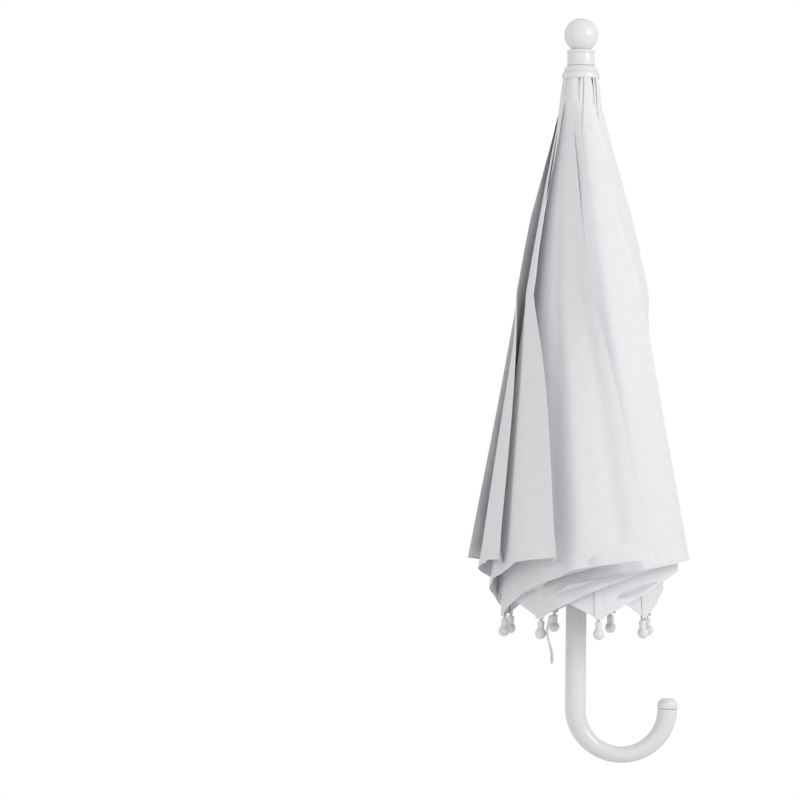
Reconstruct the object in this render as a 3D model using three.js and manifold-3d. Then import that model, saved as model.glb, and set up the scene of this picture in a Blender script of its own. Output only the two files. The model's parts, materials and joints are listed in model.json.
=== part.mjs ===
// A crook-handled stick umbrella with eight ribs, closed and standing tip up.
// Millimetres, +Z up. The origin is on the shaft axis at the grip of the handle.
import * as THREE from "three";
import { mergeVertices } from "three/addons/utils/BufferGeometryUtils.js";
import Module from "manifold-3d";

const wasm = await Module();
wasm.setup();

const DEG = Math.PI / 180;
const UP = new THREE.Vector3(0, 0, 1);
const TANGENT = new THREE.Vector3(0, 1, 0);

// clearances
const GAP = 0.3;
const CUT = 1;

// how finely round things are cut, and how near two corners are when they are one
const SIDES = { shaft: 20, crown: 32, runner: 24, cap: 28, ball: 24, handle: 16, tip: 10, stud: 12, rod: 8 };
const WIRE_SIDES = 5;
const WIRE_STEPS = 40;
const WELD = 1e-4;

// frame: eight ribs hinged on a crown
const RIB_COUNT = 8;
const RIB_STEP = 360 / RIB_COUNT;
const RIB_FIRST = 15;
const RIB_LENGTH = 500;
const RIB_RADIUS = 1.5;
const RIB_SAG = 7;
const RIB_STEPS = 8;
const RIB_CLOSED = 6.5;
const RIB_OPEN = 64;
const HINGE_RADIUS = 11;
const HINGE_HEIGHT = 531.5;
const EYE_RADIUS = 2.6;
const EYE_BORE = 1.0;
const EYE_WIDTH = 2.6;
const ROD_SUNK = 0.5;
const CROWN_WIRE = 0.6;

// shaft
const SHAFT_RADIUS = 5;
const SHAFT_WALL = 0.8;
const SHAFT_BORE = SHAFT_RADIUS + GAP;

// crown and runner, both slotted for the ribs or stretchers
const CROWN_RADIUS = 13.6;
const CROWN_BELOW = 5;
const CROWN_ABOVE = 4.5;
const ROD_PLAY = 0.1;
const SLOT_WIDTH = Math.max(EYE_WIDTH + 2 * GAP, 2 * (RIB_RADIUS + ROD_PLAY));
const SLOT_FLOOR = 7.6;
const RUNNER_RING = 12.6;
const RUNNER_RING_HEIGHT = 9;
const RUNNER_SLEEVE = 7;
const RUNNER_LENGTH = 50;
const RUNNER_FLANGE = 10;
const RUNNER_FLANGE_HEIGHT = 4;
const RING_TAPER = 2;
const EDGE_BREAK = 1;

// stretchers
const STRETCHER_AT = 195;
const STRETCHER_LENGTH = 195;
const STRETCHER_RADIUS = 1.2;
const STRETCHER_FOOT = 9.5;
const PIVOT_DROP = RIB_RADIUS + EYE_RADIUS + 2 * GAP;
const PIVOT_PIN = 0.7;
const CHEEK_THICK = 0.8;
const CHEEK_HALF = 2.6;
const BRIDGE_THICK = 1;

// tips
const TIP_BALL = 5;
const TIP_CUP = 3.2;
const TIP_CUP_LENGTH = 8;
const TIP_BORE_DEPTH = 6;
const TIP_TAPER = 3;
const TIP_BALL_SUNK = 2;
const TIP_FIRST = 3;
const TIP_STEPS = 7;

// cap and finial on top of the shaft
const CAP_RADIUS = 17;
const CAP_INNER = 14.6;
const CAP_BOTTOM = HINGE_HEIGHT + 1.8;
const CAP_CEILING = HINGE_HEIGHT + CROWN_ABOVE + 0.5;
const CAP_HEIGHT = 12;
const CAP_TOP = CAP_BOTTOM + CAP_HEIGHT;
const NECK_RADIUS = 12.5;
const NECK_HEIGHT = 12;
const BALL_RADIUS = 15.2;
const BALL_SEAT = 0.82;
const BALL_STEPS = 10;
const BEAD_HEIGHT = 3;
const BEAD_PROUD = 0.6;
const FINIAL_BORE_DEPTH = 12;

// handle
const HANDLE_RADIUS = 9.35;
const CROOK_THIN = 7.4;
const CROOK_END_RADIUS = 8.9;
const HANDLE_TOP = 86;
const HANDLE_SOCKET = 40;
const CROOK_START = -33;
const CROOK_RADIUS = 41.4;
const CROOK_ANGLE = 180;
const CROOK_STEPS = 30;
const END_CAP = 9.5;
const END_CAP_ROUND = 5;
const END_CAP_STEPS = 4;

// canopy
const FABRIC_THICK = 0.7;
const FABRIC_LIFT = RIB_RADIUS + FABRIC_THICK / 2 + 2 * GAP;
const HEM_AT_RIB = RIB_LENGTH - TIP_BALL - TIP_CUP_LENGTH - 2;
const HEM_AT_MIDDLE = 470;
const CREASE_OUT = 0.38;
const CREASE_GAP = 1;
const PLEAT_WRAP = [112, 115, 116, 107, 106, 113, 112, 110];
const CORNER_BELOW = 428;
const EDGE_TOP = 2;
const EDGE_CORNER = 39;
const SEAM_TOP = HINGE_HEIGHT - 14;
const SEAM_BACK = 18;
const PLEAT_TOP = HINGE_HEIGHT - 45;
const INNER_FROM = 10;
const INNER_SHORT = 8;
const SHEET_STEPS = 5;

// tie strap on the hem beside one rib
const STRAP_RIB = 6;
const STRAP_WIDTH = 12;
const STRAP_THICK = 1;
const STRAP_LENGTH = 42;
const STRAP_SIDE = 9;
const STRAP_TURN = 30;
const STRAP_INSIDE = 2;
const STRAP_ABOVE_HEM = 3;
const STUD_RADIUS = 4;
const STUD_FROM_END = 3;
const STUD_HEIGHT = 1.6;

// spring catches in the shaft
const CATCH_WIDTH = 2.4;
const CATCH_NOSE = 2.6;
const CATCH_HEIGHT = 16;
const CATCH_BACK = 0.6;
const CATCH_LEG = 1.2;
const CATCH_SHOULDER = 3;
const CATCH_STAND_OFF = 2;
const CATCH_AZIMUTH = RIB_FIRST + RIB_STEP / 2;

const finish = {
  fabric: new THREE.MeshStandardMaterial({ color: 0xf1f2f6, roughness: 0.85 }),
  plastic: new THREE.MeshStandardMaterial({ color: 0xf2f2f4, roughness: 0.3 }),
  steel: new THREE.MeshStandardMaterial({ color: 0xb9bcc0, roughness: 0.35, metalness: 1 }),
};

const model = new THREE.Group();

// ---------- solids ----------

function toSolid(geometry) {
  const bare = geometry.index ? geometry.toNonIndexed() : geometry.clone();
  bare.deleteAttribute("normal");
  bare.deleteAttribute("uv");
  const merged = mergeVertices(bare, WELD);
  return new wasm.Manifold(new wasm.Mesh({
    numProp: 3,
    vertProperties: merged.attributes.position.array,
    triVerts: new Uint32Array(merged.index.array),
  }));
}

function toGeometry(solid) {
  const mesh = solid.getMesh();
  const geometry = new THREE.BufferGeometry();
  geometry.setAttribute("position", new THREE.BufferAttribute(mesh.vertProperties, 3));
  geometry.setIndex(new THREE.BufferAttribute(mesh.triVerts, 1));
  return geometry;
}

function addMesh(name, geometry, material, placement = new THREE.Matrix4()) {
  const mesh = new THREE.Mesh(geometry, material);
  mesh.name = name;
  mesh.applyMatrix4(placement);
  model.add(mesh);
  return mesh;
}

// a solid of revolution about Z, from [radius, height] pairs
function lathe(profile, sides) {
  const points = profile.map(([r, z]) => new THREE.Vector2(r, z));
  return new THREE.LatheGeometry(points, sides).rotateX(Math.PI / 2);
}

// a ring about Z whose section is a rectangle
function ring(inner, outer, bottom, top, sides) {
  return lathe([[inner, bottom], [outer, bottom], [outer, top], [inner, top], [inner, bottom]], sides);
}

function cylinder(radius, from, to, sides) {
  const along = new THREE.Vector3().subVectors(to, from);
  const geometry = new THREE.CylinderGeometry(radius, radius, along.length(), sides);
  geometry.translate(0, along.length() / 2, 0);
  const turn = new THREE.Quaternion().setFromUnitVectors(new THREE.Vector3(0, 1, 0), along.normalize());
  return geometry.applyQuaternion(turn).translate(from.x, from.y, from.z);
}

function box(size, centre) {
  return new THREE.BoxGeometry(size.x, size.y, size.z).translate(centre.x, centre.y, centre.z);
}

function circle(radius, sides) {
  const shape = new THREE.Shape();
  for (let i = 0; i < sides; i += 1) {
    const turn = (2 * Math.PI * i) / sides;
    const point = [radius * Math.cos(turn), radius * Math.sin(turn)];
    if (i === 0) shape.moveTo(...point);
    else shape.lineTo(...point);
  }
  return shape;
}

function sweep(radius, sides, path, steps) {
  return new THREE.ExtrudeGeometry(circle(radius, sides), { steps, bevelEnabled: false, extrudePath: path });
}

// a solid round bar of changing radius along a path in the XZ plane
function taperedBar(path, radiusAt, sides, steps) {
  const vertices = [];
  const faces = [];
  for (let k = 0; k <= steps; k += 1) {
    const centre = path.getPoint(k / steps);
    const heading = path.getTangent(k / steps);
    const across = new THREE.Vector3(heading.z, 0, -heading.x);
    for (let i = 0; i < sides; i += 1) {
      const turn = (2 * Math.PI * i) / sides;
      const spoke = across.clone().multiplyScalar(Math.cos(turn)).addScaledVector(TANGENT, Math.sin(turn));
      vertices.push(...centre.clone().addScaledVector(spoke, radiusAt(k / steps)));
      const next = (i + 1) % sides;
      if (k < steps) {
        const [a, b, c, d] = [k * sides + i, k * sides + next, (k + 1) * sides + next, (k + 1) * sides + i];
        faces.push(a, b, c, a, c, d);
      }
    }
  }
  for (let i = 1; i < sides - 1; i += 1) {
    faces.push(0, i + 1, i);
    faces.push(steps * sides, steps * sides + i, steps * sides + i + 1);
  }
  const geometry = new THREE.BufferGeometry();
  geometry.setAttribute("position", new THREE.Float32BufferAttribute(vertices, 3));
  geometry.setIndex(faces);
  return facingOut(geometry);
}

// an eyelet whose hole runs along Y, in the XZ plane
function eyelet(centre) {
  return ring(EYE_BORE, EYE_RADIUS, -EYE_WIDTH / 2, EYE_WIDTH / 2, 10)
    .rotateX(Math.PI / 2)
    .translate(centre.x, centre.y, centre.z);
}

// a thin closed sheet of even thickness on a grid of points
function sheetSolid(at, across, down, thickness) {
  const points = [];
  for (let i = 0; i <= across; i += 1) {
    for (let j = 0; j <= down; j += 1) points.push(at(i / across, j / down));
  }
  const index = (i, j) => i * (down + 1) + j;
  const normal = (i, j) => {
    const a = points[index(Math.min(i + 1, across), j)].clone().sub(points[index(Math.max(i - 1, 0), j)]);
    const b = points[index(i, Math.min(j + 1, down))].clone().sub(points[index(i, Math.max(j - 1, 0))]);
    return a.cross(b).normalize();
  };
  const vertices = [];
  for (const side of [1, -1]) {
    for (let i = 0; i <= across; i += 1) {
      for (let j = 0; j <= down; j += 1) {
        vertices.push(...points[index(i, j)].clone().addScaledVector(normal(i, j), (side * thickness) / 2));
      }
    }
  }
  const under = points.length;
  const faces = [];
  const quad = (a, b, c, d) => faces.push(a, b, c, a, c, d);
  for (let i = 0; i < across; i += 1) {
    for (let j = 0; j < down; j += 1) {
      const corners = [index(i, j), index(i + 1, j), index(i + 1, j + 1), index(i, j + 1)];
      quad(...corners);
      quad(...corners.reverse().map((k) => k + under));
    }
  }
  const rim = (a, b) => quad(b, a, a + under, b + under);
  for (let i = 0; i < across; i += 1) {
    rim(index(i, 0), index(i + 1, 0));
    rim(index(i + 1, down), index(i, down));
  }
  for (let j = 0; j < down; j += 1) {
    rim(index(0, j + 1), index(0, j));
    rim(index(across, j), index(across, j + 1));
  }
  const geometry = new THREE.BufferGeometry();
  geometry.setAttribute("position", new THREE.Float32BufferAttribute(vertices, 3));
  geometry.setIndex(faces);
  return facingOut(geometry);
}

function facingOut(geometry) {
  const p = geometry.attributes.position;
  const index = geometry.index;
  const corner = (k) => new THREE.Vector3().fromBufferAttribute(p, index.getX(k));
  let volume = 0;
  for (let k = 0; k < index.count; k += 3) volume += corner(k).dot(corner(k + 1).cross(corner(k + 2)));
  if (volume < 0) {
    for (let k = 0; k < index.count; k += 3) {
      const second = index.getX(k + 1);
      index.setX(k + 1, index.getX(k + 2));
      index.setX(k + 2, second);
    }
  }
  return geometry;
}

// ---------- the rib in its own plane: X outward, Y tangential, Z up ----------

const HINGE = new THREE.Vector3(HINGE_RADIUS, 0, HINGE_HEIGHT);

// a point at a distance along the rib, lifted off its outer side, with the rib at an angle from straight down
function ribPoint(along, lean, lift = 0, sag = RIB_SAG) {
  const halfBend = (4 * sag) / RIB_LENGTH;
  const start = lean * DEG + halfBend;
  const rate = (2 * halfBend) / RIB_LENGTH;
  const here = start - rate * along;
  return new THREE.Vector3(
    HINGE_RADIUS + (Math.cos(here) - Math.cos(start)) / rate + lift * Math.cos(here),
    0,
    HINGE_HEIGHT - (Math.sin(start) - Math.sin(here)) / rate + lift * Math.sin(here),
  );
}

function aroundShaft(point, degrees) {
  return point.clone().applyAxisAngle(UP, degrees * DEG);
}

function turnAbout(point, centre, axis, degrees) {
  return point.clone().sub(centre).applyAxisAngle(axis, degrees * DEG).add(centre);
}

function ribAzimuth(rib) {
  return RIB_FIRST + RIB_STEP * (rib - 1);
}

function ribPlacement(rib) {
  return new THREE.Matrix4().makeRotationZ(ribAzimuth(rib) * DEG);
}

function closeWithRib(point) {
  return turnAbout(point, HINGE, TANGENT, RIB_OPEN - RIB_CLOSED);
}

// ---------- the open canopy and how a pleat folds ----------

// side 1 is the panel towards the next rib, -1 the panel towards the last one; share 1 is the panel's middle
function openFabric(along, share, side, sag = RIB_SAG) {
  const near = ribPoint(along, RIB_OPEN, FABRIC_LIFT, sag);
  const far = aroundShaft(near, side * RIB_STEP);
  return near.lerp(far, share / 2);
}

function hem(share) {
  return HEM_AT_RIB + (HEM_AT_MIDDLE - HEM_AT_RIB) * share * (2 - share);
}

function creaseLine(share, side) {
  const from = openFabric(0, share, side);
  return { from, axis: openFabric(hem(share), share, side).sub(from).normalize() };
}

function foldedPoint(point, share, side, angle) {
  const crease = creaseLine(share, side);
  return closeWithRib(turnAbout(point, crease.from, crease.axis, -side * angle));
}

function foldedCorner(share, side, angle) {
  const corner = foldedPoint(openFabric(HEM_AT_MIDDLE, 1, side), share, side, angle);
  return { wrap: Math.atan2(corner.y, corner.x) / DEG, radius: Math.hypot(corner.x, corner.y) };
}

function bisect(wanted, low, high) {
  const rising = wanted(high) > wanted(low);
  let [from, to] = [low, high];
  for (let i = 0; i < 50; i += 1) {
    const middle = (from + to) / 2;
    if ((wanted(middle) > 0) === rising) to = middle;
    else from = middle;
  }
  return (from + to) / 2;
}

// the outer half of a pleat leaves its rib and wraps round the bundle by the given angle
function outerFold(wrap) {
  const angle = bisect((a) => foldedCorner(CREASE_OUT, 1, a).wrap - wrap, 20, 85);
  return { crease: CREASE_OUT, angle, radius: foldedCorner(CREASE_OUT, 1, angle).radius };
}

// the inner half doubles back beside the next rib, and meets the outer half at the pleat's edge
function innerFold(wrap, radius) {
  const angleAt = (crease) => bisect((a) => foldedCorner(crease, -1, a).wrap - wrap, 110, 178);
  const crease = bisect((c) => foldedCorner(c, -1, angleAt(c)).radius - radius, 0.08, 0.34);
  return { crease, angle: angleAt(crease) };
}

function pleatFolds(rib) {
  const wrap = PLEAT_WRAP[rib - 1];
  const outer = outerFold(wrap);
  return { outer, inner: innerFold(wrap - RIB_STEP, outer.radius) };
}

// the pleat whose inner half hangs on a rib starts at the rib before it
function ribBefore(rib) {
  return rib === 1 ? RIB_COUNT : rib - 1;
}

// ---------- shaft, crown, runner ----------

function buildShaft() {
  const bottom = HANDLE_TOP - HANDLE_SOCKET + GAP;
  const top = CAP_TOP + FINIAL_BORE_DEPTH - GAP;
  let tube = toSolid(ring(SHAFT_RADIUS - SHAFT_WALL, SHAFT_RADIUS, bottom, top, SIDES.shaft));
  for (const centre of [lowerCatchCentre(), upperCatchCentre()]) {
    const size = new THREE.Vector3(SHAFT_RADIUS, CATCH_WIDTH + 2 * GAP, CATCH_HEIGHT + 4 * GAP);
    const slot = box(size, new THREE.Vector3(SHAFT_RADIUS, 0, centre));
    tube = tube.subtract(toSolid(slot.rotateZ(CATCH_AZIMUTH * DEG)));
  }
  addMesh("shaft_tube", toGeometry(tube), finish.steel);
}

function slotted(solid, bottom, top, outer) {
  let result = solid;
  for (let rib = 1; rib <= RIB_COUNT; rib += 1) {
    const size = new THREE.Vector3(outer, SLOT_WIDTH, top - bottom + 2 * CUT);
    const slot = box(size, new THREE.Vector3(SLOT_FLOOR + outer / 2, 0, (bottom + top) / 2));
    result = result.subtract(toSolid(slot.rotateZ(ribAzimuth(rib) * DEG)));
  }
  return result;
}

function buildCrown() {
  const bottom = HINGE_HEIGHT - CROWN_BELOW;
  const top = HINGE_HEIGHT + CROWN_ABOVE;
  const disc = toSolid(ring(SHAFT_BORE, CROWN_RADIUS, bottom, top, SIDES.crown));
  const groove = toSolid(ring(HINGE_RADIUS - 2 * CROWN_WIRE, CROWN_RADIUS + CUT,
    HINGE_HEIGHT - 2 * CROWN_WIRE, HINGE_HEIGHT + 2 * CROWN_WIRE, SIDES.crown));
  addMesh("crown_notch", toGeometry(slotted(disc.subtract(groove), bottom, top, CROWN_RADIUS)), finish.plastic);
  const wire = new THREE.TorusGeometry(HINGE_RADIUS, CROWN_WIRE, WIRE_SIDES, WIRE_STEPS).translate(0, 0, HINGE_HEIGHT);
  addMesh("crown_wire", wire, finish.steel);
}

// where the stretcher is hinged on a rib leaning at an angle
function pivotPoint(lean) {
  return ribPoint(STRETCHER_AT, lean, -PIVOT_DROP);
}

// height of the runner's hinge ring for a rib leaning at an angle
function runnerHeight(lean) {
  const pivot = pivotPoint(lean);
  return pivot.z - Math.sqrt(STRETCHER_LENGTH ** 2 - (pivot.x - STRETCHER_FOOT) ** 2);
}

function buildRunner() {
  const ringHeight = runnerHeight(RIB_CLOSED);
  const top = ringHeight + RUNNER_RING_HEIGHT / 2;
  const ringBottom = top - RUNNER_RING_HEIGHT;
  const bottom = ringBottom - RUNNER_LENGTH;
  const profile = [
    [SHAFT_BORE, bottom],
    [RUNNER_FLANGE - EDGE_BREAK, bottom],
    [RUNNER_FLANGE, bottom + EDGE_BREAK],
    [RUNNER_FLANGE, bottom + RUNNER_FLANGE_HEIGHT - EDGE_BREAK],
    [RUNNER_FLANGE - EDGE_BREAK, bottom + RUNNER_FLANGE_HEIGHT],
    [RUNNER_SLEEVE, bottom + RUNNER_FLANGE_HEIGHT + EDGE_BREAK],
    [RUNNER_SLEEVE, ringBottom - RING_TAPER],
    [RUNNER_RING - EDGE_BREAK, ringBottom],
    [RUNNER_RING, ringBottom + EDGE_BREAK],
    [RUNNER_RING, top - EDGE_BREAK],
    [RUNNER_RING - EDGE_BREAK, top],
    [SHAFT_BORE, top],
    [SHAFT_BORE, bottom],
  ];
  const body = slotted(toSolid(lathe(profile, SIDES.runner)), ringBottom - RING_TAPER, top, RUNNER_RING);
  addMesh("runner", toGeometry(body), finish.plastic);
}

function lowerCatchCentre() {
  return runnerHeight(RIB_CLOSED) + RUNNER_RING_HEIGHT / 2 + 2 * GAP + CATCH_HEIGHT / 2 + CATCH_STAND_OFF;
}

function upperCatchCentre() {
  return runnerHeight(RIB_OPEN) - RUNNER_RING_HEIGHT / 2 - RUNNER_LENGTH - 2 * GAP - CATCH_HEIGHT / 2 - CATCH_STAND_OFF;
}

// a flat wedge spring: a leg inside the shaft, and a nose that is square towards the runner it holds
function buildCatch(name, centre, holdsAbove) {
  const nose = SHAFT_RADIUS + CATCH_NOSE;
  const half = CATCH_HEIGHT / 2;
  const shape = new THREE.Shape();
  shape.moveTo(CATCH_BACK, -half);
  shape.lineTo(CATCH_BACK + CATCH_LEG, -half);
  shape.lineTo(nose, half - CATCH_SHOULDER);
  shape.lineTo(nose, half);
  shape.lineTo(CATCH_BACK, half);
  shape.closePath();
  const blade = new THREE.ExtrudeGeometry(shape, { depth: CATCH_WIDTH, bevelEnabled: false, steps: 1 });
  blade.translate(0, 0, -CATCH_WIDTH / 2).rotateX(Math.PI / 2);
  if (holdsAbove) blade.rotateX(Math.PI);
  const placement = new THREE.Matrix4().makeRotationZ(CATCH_AZIMUTH * DEG).setPosition(0, 0, centre);
  addMesh(name, blade, finish.steel, placement);
}

// ---------- ribs, tips, stretchers ----------

class RibCurve extends THREE.Curve {
  constructor(from, to) {
    super();
    this.from = from;
    this.to = to;
  }

  getPoint(t) {
    return ribPoint(this.from + (this.to - this.from) * t, RIB_CLOSED);
  }
}

function buildRib(rib) {
  const wireEnd = RIB_LENGTH - TIP_BALL - TIP_CUP_LENGTH + TIP_BORE_DEPTH;
  let solid = toSolid(sweep(RIB_RADIUS, SIDES.rod, new RibCurve(EYE_RADIUS - ROD_SUNK, wireEnd), RIB_STEPS));
  solid = solid.add(toSolid(eyelet(HINGE)));
  const pivot = pivotPoint(RIB_CLOSED);
  const inside = EYE_WIDTH / 2 + GAP;
  for (const side of [-1, 1]) {
    const size = new THREE.Vector3(PIVOT_DROP + CHEEK_HALF, CHEEK_THICK, 2 * CHEEK_HALF);
    const centre = new THREE.Vector3(pivot.x - CHEEK_HALF / 2 + PIVOT_DROP / 2, side * (inside + CHEEK_THICK / 2), pivot.z);
    solid = solid.add(toSolid(box(size, centre)));
  }
  const bridge = new THREE.Vector3(pivot.x + PIVOT_DROP, 0, pivot.z);
  const bridgeSize = new THREE.Vector3(BRIDGE_THICK, 2 * (inside + CHEEK_THICK), 2 * CHEEK_HALF);
  solid = solid.add(toSolid(box(bridgeSize, bridge)));
  const end = new THREE.Vector3(0, inside + CHEEK_THICK / 2, 0);
  solid = solid.add(toSolid(cylinder(PIVOT_PIN, pivot.clone().sub(end), pivot.clone().add(end), SIDES.rod)));
  addMesh(`rib_${rib}`, toGeometry(solid), finish.steel, ribPlacement(rib));
}

function buildTip(rib) {
  const cupTop = RIB_LENGTH - TIP_BALL - TIP_CUP_LENGTH;
  const bore = RIB_RADIUS + GAP;
  const profile = [[0, -TIP_BORE_DEPTH - GAP], [bore, -TIP_BORE_DEPTH - GAP], [bore, 0], [TIP_CUP, 0]];
  profile.push([TIP_CUP, -TIP_CUP_LENGTH + TIP_TAPER]);
  const ballCentre = -TIP_CUP_LENGTH - TIP_BALL + TIP_BALL_SUNK;
  for (let k = TIP_FIRST; k <= TIP_STEPS; k += 1) {
    const turn = (k * Math.PI) / TIP_STEPS;
    profile.push([k === TIP_STEPS ? 0 : TIP_BALL * Math.sin(turn), ballCentre + TIP_BALL * Math.cos(turn)]);
  }
  const ball = facingOut(mergedLathe(profile, SIDES.tip));
  const at = ribPoint(cupTop, RIB_CLOSED);
  const heading = ribPoint(cupTop + 1, RIB_CLOSED).sub(at);
  const lean = Math.atan2(heading.x, -heading.z);
  const placement = ribPlacement(rib).multiply(new THREE.Matrix4().makeTranslation(at.x, at.y, at.z));
  addMesh(`tip_ball_${rib}`, ball, finish.plastic, placement.multiply(new THREE.Matrix4().makeRotationY(-lean)));
}

function mergedLathe(profile, sides) {
  return toGeometry(toSolid(orient(lathe(profile, sides))));
}

// lathe profiles are listed from the inside out, so the result is turned to face outward
function orient(geometry) {
  const bare = geometry.clone();
  bare.deleteAttribute("normal");
  bare.deleteAttribute("uv");
  return facingOut(mergeVertices(bare, WELD));
}

function buildStretcher(rib) {
  const pivot = pivotPoint(RIB_CLOSED);
  const foot = new THREE.Vector3(STRETCHER_FOOT, 0, runnerHeight(RIB_CLOSED));
  const along = foot.clone().sub(pivot).normalize();
  const start = pivot.clone().addScaledVector(along, EYE_RADIUS - ROD_SUNK);
  const bar = toSolid(cylinder(STRETCHER_RADIUS, start, foot, SIDES.rod));
  addMesh(`stretcher_${rib}`, toGeometry(bar.add(toSolid(eyelet(pivot)))), finish.steel, ribPlacement(rib));
}

// ---------- the closed canopy: eight pleats, each a spiral lying over the next ----------

const CORNER_HEIGHT = HINGE_HEIGHT - CORNER_BELOW;

function ribRadiusAt(height) {
  return ribPoint((HINGE_HEIGHT - height) / Math.cos(RIB_CLOSED * DEG), RIB_CLOSED, FABRIC_LIFT).x;
}

// radius of the pleat that starts on a rib, at an angle past that rib
function pleatRadius(rib, angle, height) {
  const below = (HINGE_HEIGHT - height) / (HINGE_HEIGHT - CORNER_HEIGHT);
  const standOff = EDGE_TOP + (EDGE_CORNER - EDGE_TOP) * below;
  return ribRadiusAt(height) + (standOff * Math.max(0, angle)) / PLEAT_WRAP[rib - 1];
}

// the inner half lies midway between its own pleat's outer half and the next pleat
function innerRadius(rib, angle, height) {
  const over = pleatRadius(ribBefore(rib), angle + RIB_STEP, height);
  return (over + pleatRadius(rib, angle, height)) / 2;
}

// a sheet between two angles past its rib, from a height down to a hem that rises towards the pleat's edge
function spiralSheet(radiusAt, from, to, top, wrap, across) {
  const ribHem = ribPoint(HEM_AT_RIB, RIB_CLOSED, FABRIC_LIFT).z;
  const point = (u, v) => {
    const angle = from + (to - from) * u;
    const rise = Math.min(1, Math.abs(angle) / wrap);
    const bottom = ribHem + (CORNER_HEIGHT - ribHem) * rise * (2 - rise);
    const height = top + (bottom - top) * v;
    const radius = radiusAt(angle, height);
    return aroundShaft(new THREE.Vector3(radius, 0, height), angle);
  };
  return sheetSolid(point, across, SHEET_STEPS, FABRIC_THICK);
}

function buildCanopy(rib) {
  const wrap = PLEAT_WRAP[rib - 1];
  const innerWrap = PLEAT_WRAP[ribBefore(rib) - 1] - RIB_STEP;
  const crease = CREASE_OUT * wrap;
  const outer = (angle, height) => pleatRadius(rib, angle, height);
  const inner = (angle, height) => innerRadius(rib, angle, height);
  const seam = spiralSheet(outer, -SEAM_BACK, crease - CREASE_GAP, SEAM_TOP, wrap, 4);
  const outerSheet = spiralSheet(outer, crease, wrap, PLEAT_TOP, wrap, 5);
  const innerSheet = spiralSheet(inner, INNER_FROM, innerWrap - INNER_SHORT, PLEAT_TOP, innerWrap, 4);
  addMesh(`canopy_seam_${rib}`, seam, finish.fabric, ribPlacement(rib));
  addMesh(`pleat_outer_${rib}`, outerSheet, finish.fabric, ribPlacement(rib));
  addMesh(`pleat_inner_${rib}`, innerSheet, finish.fabric, ribPlacement(rib));
}

// ---------- cap, finial, handle, strap ----------

function buildCap() {
  const profile = [
    [SHAFT_BORE, CAP_CEILING],
    [CAP_INNER, CAP_CEILING],
    [CAP_INNER, CAP_BOTTOM],
    [CAP_RADIUS - 1, CAP_BOTTOM],
    [CAP_RADIUS, CAP_BOTTOM + 2],
    [CAP_RADIUS - 0.2, CAP_BOTTOM + 4],
    [CAP_RADIUS - 1.4, CAP_BOTTOM + 6.5],
    [CAP_RADIUS - 3, CAP_BOTTOM + 9],
    [NECK_RADIUS + 0.3, CAP_TOP - GAP],
    [SHAFT_BORE, CAP_TOP - GAP],
    [SHAFT_BORE, CAP_CEILING],
  ];
  addMesh("canopy_cap", facingOut(mergedLathe(profile, SIDES.cap)), finish.plastic);
}

function buildFinial() {
  const neckTop = CAP_TOP + NECK_HEIGHT;
  const ballCentre = neckTop + BEAD_HEIGHT + BALL_RADIUS * BALL_SEAT;
  const profile = [
    [0, CAP_TOP + FINIAL_BORE_DEPTH],
    [SHAFT_BORE, CAP_TOP + FINIAL_BORE_DEPTH],
    [SHAFT_BORE, CAP_TOP],
    [NECK_RADIUS, CAP_TOP],
    [NECK_RADIUS - 0.3, neckTop - 1],
    [NECK_RADIUS + BEAD_PROUD, neckTop],
    [NECK_RADIUS + BEAD_PROUD, neckTop + BEAD_HEIGHT - 1],
    [NECK_RADIUS - 0.8, neckTop + BEAD_HEIGHT],
  ];
  const low = Math.PI - Math.acos(BALL_SEAT);
  for (let k = BALL_STEPS - 1; k >= 0; k -= 1) {
    const turn = (low * k) / BALL_STEPS;
    profile.push([k === 0 ? 0 : BALL_RADIUS * Math.sin(turn), ballCentre + BALL_RADIUS * Math.cos(turn)]);
  }
  addMesh("finial_ball", facingOut(mergedLathe(profile, SIDES.ball)), finish.plastic);
}

const CROOK_STRAIGHT = HANDLE_TOP - CROOK_START;
const CROOK_BEND = CROOK_RADIUS * CROOK_ANGLE * DEG;

class CrookCurve extends THREE.Curve {
  getPoint(t) {
    const along = t * (CROOK_STRAIGHT + CROOK_BEND);
    if (along <= CROOK_STRAIGHT) return new THREE.Vector3(0, 0, HANDLE_TOP - along);
    const turn = (along - CROOK_STRAIGHT) / CROOK_RADIUS;
    return new THREE.Vector3(CROOK_RADIUS * (1 - Math.cos(turn)), 0, CROOK_START - CROOK_RADIUS * Math.sin(turn));
  }
}

// the moulding is slimmest in the middle of the crook
function handleRadius(t) {
  const bent = Math.max(0, t * (CROOK_STRAIGHT + CROOK_BEND) - CROOK_STRAIGHT) / CROOK_BEND;
  const ends = HANDLE_RADIUS + (CROOK_END_RADIUS - HANDLE_RADIUS) * bent;
  const middle = Math.sin(Math.PI * bent) ** 1.5;
  return ends + (CROOK_THIN - ends) * middle;
}

function buildHandle() {
  const path = new CrookCurve();
  const tube = toSolid(taperedBar(path, handleRadius, SIDES.handle, CROOK_STEPS));
  const socket = cylinder(SHAFT_BORE, new THREE.Vector3(0, 0, HANDLE_TOP - HANDLE_SOCKET),
    new THREE.Vector3(0, 0, HANDLE_TOP + CUT), SIDES.shaft);
  addMesh("crook_handle", toGeometry(tube.subtract(toSolid(socket))), finish.plastic);

  const end = path.getPoint(1);
  const profile = [[0, GAP], [CROOK_END_RADIUS, GAP]];
  for (let k = 0; k <= END_CAP_STEPS; k += 1) {
    const turn = (k * Math.PI) / 2 / END_CAP_STEPS;
    const out = CROOK_END_RADIUS - END_CAP_ROUND * (1 - Math.cos(turn));
    profile.push([out, END_CAP - END_CAP_ROUND * (1 - Math.sin(turn))]);
  }
  profile.push([0, END_CAP]);
  const placement = new THREE.Matrix4().makeTranslation(end.x, end.y, end.z);
  addMesh("handle_end_cap", facingOut(mergedLathe(profile, SIDES.handle)), finish.plastic, placement);
}

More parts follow.
